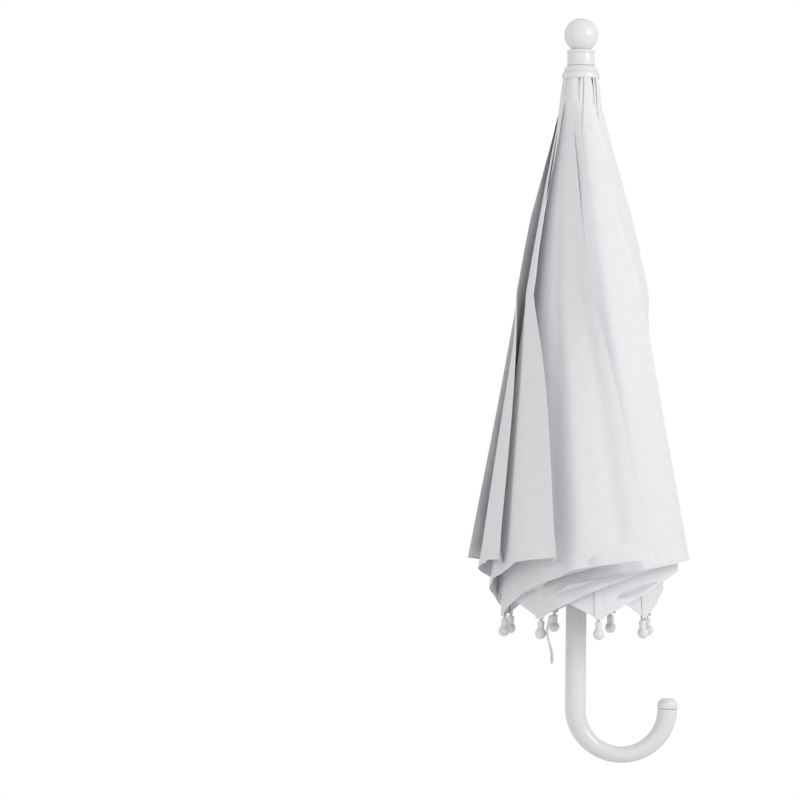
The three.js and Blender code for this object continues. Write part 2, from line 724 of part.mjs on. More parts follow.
// where the strap is sewn to the hem, in the plane of its rib
function strapRoot() {
  const under = ribPoint(HEM_AT_RIB, RIB_CLOSED, FABRIC_LIFT);
  return new THREE.Vector3(under.x - STRAP_INSIDE, STRAP_SIDE, under.z + STRAP_ABOVE_HEM);
}

function strapPlacement() {
  const turn = new THREE.Matrix4().makeRotationZ(STRAP_TURN * DEG).setPosition(strapRoot());
  return ribPlacement(STRAP_RIB).multiply(turn);
}

function buildStrap() {
  const strap = box(new THREE.Vector3(STRAP_WIDTH, STRAP_THICK, STRAP_LENGTH),
    new THREE.Vector3(0, 0, -STRAP_LENGTH / 2));
  addMesh("tie_strap", strap, finish.fabric, strapPlacement());
  const face = STRAP_THICK / 2 + GAP;
  const height = STUD_RADIUS + STUD_FROM_END - STRAP_LENGTH;
  const stud = cylinder(STUD_RADIUS, new THREE.Vector3(0, face, height),
    new THREE.Vector3(0, face + STUD_HEIGHT, height), SIDES.stud);
  addMesh("tie_stud", stud, finish.plastic, strapPlacement());
}

buildShaft();
buildCrown();
buildRunner();
buildCatch("lower_catch", lowerCatchCentre(), true);
buildCatch("upper_catch", upperCatchCentre(), false);
for (let rib = 1; rib <= RIB_COUNT; rib += 1) {
  buildRib(rib);
  buildTip(rib);
  buildStretcher(rib);
  buildCanopy(rib);
}
buildCap();
buildFinial();
buildHandle();
buildStrap();

// hinge lines and travels of everything that moves, for whoever poses the model
model.userData = {
  hinge: { point: HINGE, open: RIB_OPEN - RIB_CLOSED },
  pivot: { point: pivotPoint(RIB_CLOSED) },
  runner: { closed: runnerHeight(RIB_CLOSED), open: runnerHeight(RIB_OPEN), foot: STRETCHER_FOOT },
  pivotOpen: pivotPoint(RIB_OPEN),
  strap: { rib: STRAP_RIB, point: strapRoot() },
  catches: { lower: lowerCatchCentre(), upper: upperCatchCentre(), height: CATCH_HEIGHT, azimuth: CATCH_AZIMUTH },
  ribs: Array.from({ length: RIB_COUNT }, (_, k) => {
    const rib = k + 1;
    const outer = pleatFolds(rib).outer;
    const inner = pleatFolds(ribBefore(rib)).inner;
    const line = (share, side) => {
      const crease = creaseLine(share, side);
      const from = closeWithRib(crease.from);
      return { from, to: closeWithRib(crease.from.clone().addScaledVector(crease.axis, 100)) };
    };
    return {
      azimuth: ribAzimuth(rib),
      outer: { angle: outer.angle, crease: outer.crease, line: line(outer.crease, 1) },
      inner: { angle: inner.angle, crease: inner.crease, line: line(inner.crease, -1) },
    };
  }),
};

export default model;
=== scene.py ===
"""A white stick umbrella with a crook handle, closed, its tip up. Metres, +Z up, the crook opens to +X."""

import json
import math

import bmesh
import bpy
import numpy as np
from mathutils import Matrix, Vector


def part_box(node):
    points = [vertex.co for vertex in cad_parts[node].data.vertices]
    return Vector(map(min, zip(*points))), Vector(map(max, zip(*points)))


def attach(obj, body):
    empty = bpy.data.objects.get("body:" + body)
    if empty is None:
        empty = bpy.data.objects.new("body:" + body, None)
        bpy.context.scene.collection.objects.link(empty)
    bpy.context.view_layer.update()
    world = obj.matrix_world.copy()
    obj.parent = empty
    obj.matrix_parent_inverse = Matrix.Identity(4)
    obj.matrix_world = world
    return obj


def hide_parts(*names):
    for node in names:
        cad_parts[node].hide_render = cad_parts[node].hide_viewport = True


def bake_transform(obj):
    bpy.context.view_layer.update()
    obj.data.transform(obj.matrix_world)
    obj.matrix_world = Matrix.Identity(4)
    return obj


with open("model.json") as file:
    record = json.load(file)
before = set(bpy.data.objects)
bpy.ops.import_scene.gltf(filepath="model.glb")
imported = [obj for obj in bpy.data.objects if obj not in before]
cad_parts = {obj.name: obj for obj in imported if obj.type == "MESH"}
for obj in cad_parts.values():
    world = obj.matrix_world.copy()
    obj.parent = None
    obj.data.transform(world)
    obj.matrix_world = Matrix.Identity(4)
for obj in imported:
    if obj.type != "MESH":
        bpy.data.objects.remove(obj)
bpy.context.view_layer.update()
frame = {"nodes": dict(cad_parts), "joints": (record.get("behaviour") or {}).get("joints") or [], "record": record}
joints = {joint["name"]: joint for joint in frame["joints"]}
ratios = {row["joint"]: row["ratio"] for row in frame["record"]["behaviour"]["couplings"]}

RIB_COUNT = 8
RIBS = range(1, RIB_COUNT + 1)
RIB_STEP = 2 * math.pi / RIB_COUNT

# a rib's wire: its length, how far it bows, and how far it leans out when closed
RIB_LENGTH = 0.5
RIB_SAG = 0.007
LEAN_CLOSED = math.radians(6.5)

# the cloth: how high its middle lies over the rib's axis, and how much higher it is gathered at the crown
CLOTH_LIFT = 0.00245
CLOTH_THICK = 0.00022
CROWN_LIFT = 0.0026
CROWN_LIFT_ENDS = 0.05

# its cut: where it starts beyond the rib's hinge, and where it ends at a rib and at a panel's middle
TOP_ALONG = -0.003
HEM_AT_RIB = 0.485
HEM_AT_MIDDLE = 0.470
HALF_PANEL_WIDE = HEM_AT_RIB * math.sin(RIB_STEP / 2)

# its hem, with a ruffle of a broad and a fine wave that grows over the last of the cloth and fades
# towards the rib
HEM_WIDE = 0.007
HEM_THICK = 0.00052
HEM_RUFFLE = 0.0009
RUFFLE_GROWS = (0.93, 1.0)
RUFFLE_FADES = (0.05, 0.2)
BROAD_WAVE, FINE_WAVE, FINE_SHARE = 23, 41, 0.6

# its seams, which narrow at the crown, and the rows of stitches on a seam and on the hem
SEAM_WIDE = 0.0085
SEAM_THICK = 0.0007
SEAM_CROWNED = 0.3
SEAM_NARROWEST = 0.45
SEAM_NARROW_ENDS = 0.05
SEAM_STITCHES_AT = 0.62
HEM_STITCHES_AT = 0.75
STITCH_PITCH = 0.0034
STITCH_LONG = 0.0024
STITCH_THICK = 0.00034

# the patches of doubled cloth under the crown
PATCH_LONG = 0.055
PATCH_BELOW = 0.0011

# steps down and across the sheets of cloth, and along the lines of stitches
PANEL_ROWS, PANEL_COLUMNS = 70, 45
CREASE_COLUMNS = 24
HEM_ROWS = 5
SEAM_ROWS, SEAM_COLUMNS = 60, 7
PATCH_ROWS, PATCH_COLUMNS = 30, 9
HEM_LINE_STEPS, SEAM_LINE_STEPS = 120, 200

# how an outer half turns: the share of its turn that it keeps near the crown, where down the cloth that
# grows to the whole, how stiffly it keeps to it, and from where down the two halves of a pleat meet; and
# the first step, the last step and the number of steps down the cloth at which their edge is worked out
CROWN_TURN = 0.42
TURN_GROWS = (0.3, 0.72)
TURN_STIFFNESS = 0.004
EDGES_MEET = 0.43
EDGE_STEPS = (0.12, 1, 23)

# how an inner half turns: how much further it is tucked in near the crown, how far it stays off its rib's
# half of the cloth, and how wide a strip beside its crease has closer columns
INNER_TUCK = 0.1
CROWN_ENDS = 0.28
INNER_CLEAR = 0.001
INNER_CLEAR_MORE = 0.003
INNER_CLEAR_GROWS = (0.3, 0.9)
CREASE_SPREAD = 0.06
COLUMN_GAP = 0.012
# the steps down the cloth at which its crease is sought, and the shares across it that are tried
CREASE_STEPS = (0.1, 1, 19)
CREASE_SOUGHT = (0.08, 0.4, 129)

# soft lengthwise folds of each outer half: where down the cloth they grow, how near the crease they are
# still reckoned from, and for each rib where across the half they lie, how wide and how proud
SOFT_FOLDS_GROW = (0.05, 0.6)
NEAREST_CREASE = 0.12
SOFT_FOLDS = {
    1: [(0.55, 0.10, 0.003)],
    2: [(0.62, 0.09, 0.004), (0.88, 0.05, -0.003)],
    3: [(0.50, 0.10, 0.004), (0.80, 0.07, -0.004)],
    4: [(0.58, 0.08, -0.005), (0.80, 0.08, 0.004)],
    5: [(0.50, 0.07, -0.004), (0.66, 0.07, 0.004), (0.86, 0.06, -0.003)],
    6: [(0.60, 0.08, 0.005), (0.84, 0.06, -0.003)],
    7: [(0.55, 0.10, 0.003)],
    8: [(0.65, 0.10, 0.004)],
}


# ---------- numbers ----------

def smooth(x, start, end):
    """0 before start, 1 after end, and an even ease between them."""
    share = np.clip((x - start) / (end - start), 0, 1)
    return share * share * (3 - 2 * share)


def turned(points, centre, axis, angle):
    """Points turned about a line by an angle each."""
    axis = np.asarray(axis, float) / np.linalg.norm(axis)
    arm = points - centre
    angle = np.broadcast_to(angle, len(points))
    cos, sin = np.cos(angle)[:, None], np.sin(angle)[:, None]
    return centre + arm * cos + np.cross(axis, arm) * sin + axis * (arm @ axis)[:, None] * (1 - cos)


def travel(joint):
    """How far a coupled joint turns while the runner slides all the way."""
    return abs(ratios[joint]) * joints["runner_slide"]["range_m"][1]


def azimuth(rib):
    """Which way a rib points from the shaft, seen from above."""
    x, y, _ = joints[f"rib_{rib}_hinge"]["pos_m"]
    return math.atan2(y, x)


HINGE_RADIUS = math.hypot(*joints["rib_1_hinge"]["pos_m"][:2])
HINGE_HEIGHT = joints["rib_1_hinge"]["pos_m"][2]
OPENING = travel("rib_1_hinge")
LEAN_OPEN = LEAN_CLOSED + OPENING


# ---------- the canopy, drawn open and taut, then folded away ----------

def rib_line(along, lean, lift):
    """Radius and height of points along a rib that leans out by an angle, lifted off its upper side."""
    half_bend = 4 * RIB_SAG / RIB_LENGTH
    start = lean + half_bend
    rate = 2 * half_bend / RIB_LENGTH
    here = start - rate * along
    radius = HINGE_RADIUS + (np.cos(here) - math.cos(start)) / rate + lift * np.cos(here)
    height = HINGE_HEIGHT - (math.sin(start) - np.sin(here)) / rate + lift * np.sin(here)
    return radius, height


def open_cloth(along, share, side, lift=CLOTH_LIFT):
    """Points of an open half panel beside a rib at azimuth 0.
    Share is 0 at the rib and 1 at the panel's middle."""
    gathered = CROWN_LIFT * (1 - smooth(along, 0, CROWN_LIFT_ENDS))
    radius, height = rib_line(along, LEAN_OPEN, lift + gathered)
    across = share / 2
    x = radius * (1 - across + across * math.cos(RIB_STEP))
    y = side * radius * across * math.sin(RIB_STEP)
    return np.stack([x, y, height], -1)


ALONG_TABLE = np.linspace(-0.05, RIB_LENGTH + 0.05, 600)
RADIUS_TABLE = open_cloth(ALONG_TABLE, np.zeros_like(ALONG_TABLE), 1)[:, 0]


def place_on_cloth(points, side):
    """Share across the half panel and distance along the rib, of points near an open half panel."""
    x, y = points[:, 0], side * points[:, 1]
    angle = np.arctan2(y, x)
    across = np.sin(angle) / (np.sin(RIB_STEP - angle) + np.sin(angle))
    radius = x / (1 - across + across * math.cos(RIB_STEP))
    return 2 * across, np.interp(radius, RADIUS_TABLE, ALONG_TABLE)


def hem_along(share):
    """Distance along the rib of the hem, which is hollow between the ribs."""
    share = np.abs(share)
    return HEM_AT_RIB + (HEM_AT_MIDDLE - HEM_AT_RIB) * share * (2 - share)


def about_z(points, angle):
    """Points turned about the shaft."""
    return turned(points, np.zeros(3), (0, 0, 1), angle)


def closed_with_rib(points, rib):
    """Open points beside azimuth 0, put at their rib and swung down with it."""
    hinge = joints[f"rib_{rib}_hinge"]
    return turned(about_z(points, azimuth(rib)), np.array(hinge["pos_m"]), hinge["axis"], -OPENING)


def crease_share(rib, half):
    """Where a half's crease line runs across it, halfway down."""
    fold, hinge = joints[f"pleat_{half}_{rib}_fold"], joints[f"rib_{rib}_hinge"]
    sign = 1 if half == "outer" else -1
    point = np.array(fold["pos_m"]) + sign * np.array(fold["axis"]) * RIB_LENGTH * 0.8
    opened = turned(point[None], np.array(hinge["pos_m"]), hinge["axis"], OPENING)
    return place_on_cloth(about_z(opened, -azimuth(rib)), sign)[0][0]


def folded_points(points, rib, half, weight):
    """Open points beside azimuth 0, closed with their rib and folded by a share of their pleat's turn."""
    name = f"pleat_{half}_{rib}_fold"
    fold = joints[name]
    turn = -weight * travel(name)
    return turned(closed_with_rib(points, rib), np.array(fold["pos_m"]), fold["axis"], turn)


def rib_after(rib):
    return rib % RIB_COUNT + 1


def rib_before(rib):
    return (rib - 2) % RIB_COUNT + 1


def pleat_edge(rib):
    """The turns that bring a rib's outer half and the next rib's inner half together at their edge."""
    down = np.linspace(*EDGE_STEPS)
    wanted = CROWN_TURN + (1 - CROWN_TURN) * smooth(down, *TURN_GROWS)
    inner_fold = travel(f"pleat_inner_{rib_after(rib)}_fold")
    weights = np.stack([wanted, np.full_like(down, 1 - 2 * math.pi / inner_fold)])
    outer_open = open_cloth(down * HEM_AT_RIB, np.ones_like(down), 1)
    inner_open = open_cloth(down * HEM_AT_RIB, np.ones_like(down), -1)

    def misfit(tried):
        outer = folded_points(outer_open, rib, "outer", tried[0])
        inner = folded_points(inner_open, rib_after(rib), "inner", tried[1])
        along = np.gradient(outer, axis=0)
        along /= np.linalg.norm(along, axis=1)[:, None]
        gap = inner - outer
        gap -= along * (gap * along).sum(1)[:, None]
        return np.concatenate([gap, ((tried[0] - wanted) * TURN_STIFFNESS)[:, None]], axis=1)

    # rounds that find both turns where the edges can meet, then rounds for the inner half's turn alone
    nudge, most_change = 1e-5, 0.05
    meeting = down >= EDGES_MEET
    for both in (True,) * 10 + (False,) * 6:
        here = misfit(weights)
        slopes = [(misfit(weights + nudge * one[:, None]) - here) / nudge for one in np.eye(2)]
        for row in range(len(down)):
            matrix = np.stack([slopes[0][row] * both, slopes[1][row]], axis=1)
            change = np.linalg.lstsq(matrix, -here[row], rcond=None)[0]
            weights[:, row] += np.clip(change, -most_change, most_change)
        near_crown = np.interp(down, [0, EDGES_MEET], [CROWN_TURN, weights[0][meeting][0]])
        weights[0] = np.where(meeting, weights[0], near_crown)
    return down, weights[0], weights[1] - INNER_TUCK * np.maximum(0, 1 - down / CROWN_ENDS)


def outer_weight(rib, share, down):
    """Share of the fold's turn at each point of an outer half, which wraps round the bundle in a spiral."""
    at, edge, _ = EDGES[rib]
    turn = share * np.interp(down, at, edge)
    crease = crease_share(rib, "outer")
    half_wide = HALF_PANEL_WIDE * math.sin(LEAN_OPEN)
    reach = np.maximum(np.abs(share - crease), NEAREST_CREASE) * half_wide
    grown_by = smooth(down, *SOFT_FOLDS_GROW)
    for centre, wide, proud in SOFT_FOLDS[rib]:
        ridge = np.exp(-(((share - centre) / wide) ** 2))
        turn -= proud * ridge * grown_by / reach / travel(f"pleat_outer_{rib}_fold")
    return turn


def off_fold_line(rib, share, down):
    """How far points of an inner half, swung down but not yet folded, stand off their fold line."""
    fold = joints[f"pleat_inner_{rib}_fold"]
    offset = closed_with_rib(open_cloth(down * HEM_AT_RIB, share, -1), rib) - np.array(fold["pos_m"])
    return offset - (offset @ np.array(fold["axis"]))[:, None] * np.array(fold["axis"])


def inner_crease(rib):
    """Where an inner half doubles back, at steps down the cloth: the share nearest its fold line."""
    down = np.linspace(*CREASE_STEPS)
    tried = np.linspace(*CREASE_SOUGHT)
    reach = [np.linalg.norm(off_fold_line(rib, np.full_like(down, t), down), axis=1) for t in tried]
    return down, tried[np.argmin(reach, axis=0)]


def inner_weight(rib, share, down):
    """Share of the fold's turn at each point of an inner half. It turns outward, so its share runs below 0.
    Past its crease it doubles back over itself and its rib, and then reaches for the edge of the pleat."""
    name = f"pleat_inner_{rib}_fold"
    crease = np.interp(down, *CREASES[rib])
    foot = off_fold_line(rib, crease, down)
    clear = INNER_CLEAR + INNER_CLEAR_MORE * smooth(down, *INNER_CLEAR_GROWS)

    def doubled_back(at_share):
        point = off_fold_line(rib, at_share, down)
        angle = np.arctan2(np.abs(np.cross(foot, point) @ joints[name]["axis"]), (foot * point).sum(1))
        return 2 * angle - clear / np.linalg.norm(point, axis=1)

    at, _, edge = EDGES[rib_before(rib)]
    whole = -np.interp(down, at, edge) * travel(name)
    past = np.clip((share - crease) / (1 - crease), 0, 1)
    turn = doubled_back(share) + (whole - doubled_back(np.ones_like(share))) * past**2
    return -np.where(past > 0, np.maximum(turn, 0), 0) / travel(name)


def fold_away(piece, rib, half):
    """Folds a piece drawn on the open half panel, each point by its own share of its pleat's turn."""
    side = 1 if half == "outer" else -1
    points = np.array([v.co for v in piece.data.vertices], float)
    share, along = place_on_cloth(points, side)
    share = np.clip(share, 0, 1)
    down = np.clip(along / HEM_AT_RIB, 0, 1)
    weight = (outer_weight if half == "outer" else inner_weight)(rib, share, down)
    folded = folded_points(points, rib, half, weight)
    piece.data.vertices.foreach_set("co", folded.astype(np.float32).ravel())
    piece.data.update()
    low, high = Vector(folded[along.argmin()]), Vector(folded[share.argmax()])
    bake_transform(piece)


def swing_down(piece, rib):
    """Closes a piece drawn on an open rib at azimuth 0, and lets it ride on that rib."""
    points = np.array([v.co for v in piece.data.vertices], float)
    piece.data.vertices.foreach_set("co", closed_with_rib(points, rib).astype(np.float32).ravel())
    piece.data.update()
    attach(piece, f"rib_{rib}")


# ---------- meshes ----------

def new_object(name, vertices, faces, finish):
    """A smooth shaded piece at the origin, with one material."""
    mesh = bpy.data.meshes.new(name)
    mesh.from_pydata([tuple(v) for v in vertices], [], [tuple(f) for f in faces])
    mesh.materials.append(finish)
    mesh.shade_smooth()
    mesh.update()
    piece = bpy.data.objects.new(name, mesh)
    bpy.context.scene.collection.objects.link(piece)
    return piece


def facing_out(piece, sharp_from=40, merged=True):
    """Turns a closed mesh the right way out. A mesh that isn't merged keeps the order of its vertices."""
    made = bmesh.new()
    made.from_mesh(piece.data)
    if merged:
        bmesh.ops.remove_doubles(made, verts=made.verts, dist=1e-6)
    bmesh.ops.recalc_face_normals(made, faces=made.faces)
    made.to_mesh(piece.data)
    made.free()
    piece.data.set_sharp_from_angle(angle=math.radians(sharp_from))
    return piece


def rings_joined(rings, sides):
    """The faces between rings of points, each ring joined to the next."""
    faces = []
    for ring in range(rings - 1):
        here, beyond = ring * sides, (ring + 1) * sides
        for k in range(sides):
            after = (k + 1) % sides
            faces.append((here + k, here + after, beyond + after, beyond + k))
    return faces


def thin_sheet(name, rows, columns, point_at, thick, finish):
    """A closed sheet of even thickness over a grid; point_at(along, share, lift) gives its open points."""
    share, along = np.meshgrid(columns, rows, indexing="ij")
    layers = [point_at(along.ravel(), share.ravel(), side * thick / 2) for side in (1, -1)]
    vertices = np.concatenate(layers)
    across, down = len(columns), len(rows)
    under = across * down
    i, j = np.meshgrid(np.arange(across - 1), np.arange(down - 1), indexing="ij")
    a = (i * down + j).ravel()
    quads = np.stack([a, a + 1, a + down + 1, a + down], -1)
    faces = [*quads.tolist(), *(quads[:, ::-1] + under).tolist()]
    # the closed edge between the two layers, point by point round the sheet
    rim = [k * down for k in range(across)]
    rim += [(across - 1) * down + k for k in range(1, down)]
    rim += [k * down + down - 1 for k in range(across - 2, -1, -1)]
    rim += [k for k in range(down - 2, 0, -1)]
    for here, after in zip(rim, rim[1:] + rim[:1]):
        faces.append((after, here, here + under, after + under))
    piece = new_object(name, vertices, faces, finish)
    uv = piece.data.uv_layers.new(name="cloth")
    # the flat coordinates that the weave follows, as shares of the sheet's own length
    flat = np.stack([share.ravel() * along.ravel() * math.sin(RIB_STEP / 2), along.ravel()], -1)
    flat = np.concatenate([flat, flat])
    corner = np.zeros(len(piece.data.loops), int)
    piece.data.loops.foreach_get("vertex_index", corner)
    uv.data.foreach_set("uv", flat[corner].ravel())
    return facing_out(piece, sharp_from=50, merged=False)


def lathe(name, profile, finish, sides, place=Matrix.Identity(4)):
    """A turned piece about Z, from (radius, height) points that start and end on the axis."""
    vertices = []
    for radius, height in profile:
        for k in range(sides):
            turn = 2 * math.pi * k / sides
            vertices.append((radius * math.cos(turn), radius * math.sin(turn), height))
    piece = new_object(name, vertices, rings_joined(len(profile), sides), finish)
    piece.data.transform(place)
    return facing_out(piece)


def arc(centre, radius, start, end, steps):
    """(radius, height) points on an arc, angles in degrees from straight out, anticlockwise."""
    turns = [math.radians(start + (end - start) * k / steps) for k in range(steps + 1)]
    return [(max(0.0, centre[0] + radius * math.cos(t)), centre[1] + radius * math.sin(t)) for t in turns]


def bar(name, line, radii, finish, sides):
    """A round bar along a line of points, with its own radius at each, and flat ends."""
    line = np.array(line, float)
    heading = np.gradient(line, axis=0)
    heading /= np.linalg.norm(heading, axis=1)[:, None]
    side = np.cross(heading[0], (0, 1, 0) if abs(heading[0][1]) < 0.9 else (1, 0, 0))
    vertices = []
    for point, along, radius in zip(line, heading, radii):
        side = side - along * (side @ along)
        side = side / np.linalg.norm(side)
        other = np.cross(along, side)
        for k in range(sides):
            turn = 2 * math.pi * k / sides
            vertices.append(point + radius * (math.cos(turn) * side + math.sin(turn) * other))
    faces = rings_joined(len(line), sides)
    faces.append(range(sides))
    faces.append(range(len(vertices) - sides, len(vertices)))
    return facing_out(new_object(name, vertices, faces, finish))


# ---------- node trees ----------

def socket(tree, name, kind, default=None, out=False):
    """A new input or output of a node group, with its default."""
    made = tree.interface.new_socket(name, in_out="OUTPUT" if out else "INPUT", socket_type=kind)
    if default is not None:
        made.default_value = default
    return made


def stitch_tree():
    """Short rounded stitches end to end along a line of edges."""
    tree = bpy.data.node_groups.new("running_stitch", "GeometryNodeTree")
    socket(tree, "Line", "NodeSocketGeometry")
    socket(tree, "Pitch", "NodeSocketFloat", STITCH_PITCH)
    socket(tree, "Length", "NodeSocketFloat", STITCH_LONG)
    socket(tree, "Thickness", "NodeSocketFloat", STITCH_THICK)
    socket(tree, "Thread", "NodeSocketMaterial")
    socket(tree, "Stitches", "NodeSocketGeometry", out=True)
    nodes, link = tree.nodes, tree.links.new
    given, result = nodes.new("NodeGroupInput"), nodes.new("NodeGroupOutput")
    curve = nodes.new("GeometryNodeMeshToCurve")
    spaced = nodes.new("GeometryNodeResampleCurve")
    spaced.mode = "LENGTH"
    points = nodes.new("GeometryNodeCurveToPoints")
    points.mode = "EVALUATED"
    thread = nodes.new("GeometryNodeMeshIcoSphere")
    thread.inputs["Subdivisions"].default_value = 1
    thread.inputs["Radius"].default_value = 0.5
    size = nodes.new("ShaderNodeCombineXYZ")
    placed = nodes.new("GeometryNodeInstanceOnPoints")
    real = nodes.new("GeometryNodeRealizeInstances")
    painted = nodes.new("GeometryNodeSetMaterial")
    link(given.outputs["Line"], curve.inputs["Mesh"])
    link(curve.outputs["Curve"], spaced.inputs["Curve"])
    link(given.outputs["Pitch"], spaced.inputs["Length"])
    link(spaced.outputs["Curve"], points.inputs["Curve"])
    link(points.outputs["Points"], placed.inputs["Points"])
    link(points.outputs["Rotation"], placed.inputs["Rotation"])
    link(thread.outputs["Mesh"], placed.inputs["Instance"])
    link(given.outputs["Thickness"], size.inputs["X"])
    link(given.outputs["Thickness"], size.inputs["Y"])
    link(given.outputs["Length"], size.inputs["Z"])
    link(size.outputs["Vector"], placed.inputs["Scale"])
    link(placed.outputs["Instances"], real.inputs["Geometry"])
    link(real.outputs["Geometry"], painted.inputs["Geometry"])
    link(given.outputs["Thread"], painted.inputs["Material"])
    link(painted.outputs["Geometry"], result.inputs["Stitches"])
    return tree


def grown(name, line, tree, **inputs):
    """What a node tree makes along a line of points, as a plain mesh."""
    mesh = bpy.data.meshes.new(name)
    mesh.from_pydata([tuple(p) for p in line], [(k, k + 1) for k in range(len(line) - 1)], [])
    source = bpy.data.objects.new(name, mesh)
    bpy.context.scene.collection.objects.link(source)
    modifier = source.modifiers.new("made", "NODES")
    modifier.node_group = tree
    for item in tree.interface.items_tree:
        if item.in_out == "INPUT" and item.name in inputs:
            modifier[item.identifier] = inputs[item.name]
    evaluated = source.evaluated_get(bpy.context.evaluated_depsgraph_get())
    result = bpy.data.meshes.new_from_object(evaluated)
    source.modifiers.clear()
    source.data = result
    result.shade_smooth()
    return source


# the scale at which a wave texture has one band for each unit of its vector
ONE_BAND_A_UNIT = 0.314


def weave_group():
    """Plain weave on a piece's own UV map: the height of its threads, and a slow change of tone."""
    tree = bpy.data.node_groups.new("plain_weave", "ShaderNodeTree")
    socket(tree, "Threads", "NodeSocketFloat", 2600.0)
    socket(tree, "Slub", "NodeSocketFloat", 0.3)
    socket(tree, "Height", "NodeSocketFloat", out=True)
    socket(tree, "Tone", "NodeSocketFloat", out=True)
    nodes, link = tree.nodes, tree.links.new
    given, result = nodes.new("NodeGroupInput"), nodes.new("NodeGroupOutput")
    place = nodes.new("ShaderNodeTexCoord")
    scaled = nodes.new("ShaderNodeVectorMath")
    scaled.operation = "SCALE"
    link(place.outputs["UV"], scaled.inputs[0])
    link(given.outputs["Threads"], scaled.inputs["Scale"])
    waves = []
    for direction in ("X", "Y"):
        wave = nodes.new("ShaderNodeTexWave")
        wave.bands_direction = direction
        wave.inputs["Scale"].default_value = ONE_BAND_A_UNIT
        wave.inputs["Distortion"].default_value = 0.25
        wave.inputs["Detail Scale"].default_value = 0.2
        link(scaled.outputs["Vector"], wave.inputs["Vector"])
        waves.append(wave.outputs["Fac"])
    crossed = nodes.new("ShaderNodeMath")
    crossed.operation = "MULTIPLY"
    link(waves[0], crossed.inputs[0])
    link(waves[1], crossed.inputs[1])
    slub = nodes.new("ShaderNodeTexNoise")
    slub.inputs["Scale"].default_value = 60
    slub.inputs["Detail"].default_value = 3
    link(place.outputs["UV"], slub.inputs["Vector"])
    share = nodes.new("ShaderNodeMath")
    share.operation = "MULTIPLY_ADD"
    link(slub.outputs["Fac"], share.inputs[0])
    link(given.outputs["Slub"], share.inputs[1])
    link(crossed.outputs[0], share.inputs[2])
    link(share.outputs[0], result.inputs["Height"])
    link(slub.outputs["Fac"], result.inputs["Tone"])
    return tree


def mould_group():
    """Faint flow marks and handling wear of a moulded or plated surface, in object space."""
    tree = bpy.data.node_groups.new("handled_surface", "ShaderNodeTree")
    socket(tree, "Scale", "NodeSocketFloat", 90.0)
    socket(tree, "Height", "NodeSocketFloat", out=True)
    socket(tree, "Wear", "NodeSocketFloat", out=True)
    nodes, link = tree.nodes, tree.links.new
    given, result = nodes.new("NodeGroupInput"), nodes.new("NodeGroupOutput")
    place = nodes.new("ShaderNodeTexCoord")
    fine = nodes.new("ShaderNodeTexNoise")
    fine.inputs["Detail"].default_value = 4
    broad = nodes.new("ShaderNodeTexNoise")
    broad.inputs["Scale"].default_value = 14
    broad.inputs["Detail"].default_value = 6
    ramp = nodes.new("ShaderNodeMapRange")
    ramp.inputs["From Min"].default_value = 0.42
    ramp.inputs["From Max"].default_value = 0.72
    link(place.outputs["Object"], fine.inputs["Vector"])
    link(place.outputs["Object"], broad.inputs["Vector"])
    link(given.outputs["Scale"], fine.inputs["Scale"])
    link(fine.outputs["Fac"], result.inputs["Height"])
    link(broad.outputs["Fac"], ramp.inputs["Value"])
    link(ramp.outputs["Result"], result.inputs["Wear"])
    return tree


WEAVE, MOULD = weave_group(), mould_group()


def material(name, group, group_values, low, high, rough, bump, distance, fixed):
    """A Principled material. Its colour and roughness each run between two values, by the group's second
    output, and its relief comes from the group's height."""
    made = bpy.data.materials.new(name)
    made.use_nodes = True
    nodes, link = made.node_tree.nodes, made.node_tree.links.new
    shader = nodes["Principled BSDF"]
    for socket_name, value in fixed.items():
        shader.inputs[socket_name].default_value = value
    marks = nodes.new("ShaderNodeGroup")
    marks.node_tree = group
    for socket_name, value in group_values.items():
        marks.inputs[socket_name].default_value = value
    colour = nodes.new("ShaderNodeMix")
    colour.data_type = "RGBA"
    colour.inputs["A"].default_value = (*low, 1)
    colour.inputs["B"].default_value = (*high, 1)
    roughness = nodes.new("ShaderNodeMapRange")
    roughness.inputs["To Min"].default_value, roughness.inputs["To Max"].default_value = rough
    relief = nodes.new("ShaderNodeBump")
    relief.inputs["Strength"].default_value = bump
    relief.inputs["Distance"].default_value = distance
    link(marks.outputs[1], colour.inputs["Factor"])
    link(marks.outputs[1], roughness.inputs["Value"])
    link(marks.outputs["Height"], relief.inputs["Height"])
    link(colour.outputs["Result"], shader.inputs["Base Color"])
    link(roughness.outputs["Result"], shader.inputs["Roughness"])
    link(relief.outputs["Normal"], shader.inputs["Normal"])
    return made


def cloth_material(name, low, high, threads):
    values = {"Threads": threads, "Slub": 0.25}
    fixed = {"Sheen Weight": 0.25, "Sheen Roughness": 0.5, "Specular IOR Level": 0.3}
    return material(name, WEAVE, values, low, high, (0.66, 0.82), 0.25, 0.00012, fixed)


def moulded_material(name, low, high, rough, coat):
    fixed = {"Coat Weight": coat, "Coat Roughness": 0.12, "IOR": 1.49}
    return material(name, MOULD, {"Scale": 420.0}, low, high, rough, 0.05, 0.0002, fixed)


def metal_material(name, low, high, rough):
    return material(name, MOULD, {"Scale": 900.0}, low, high, rough, 0.04, 0.0001, {"Metallic": 1.0})


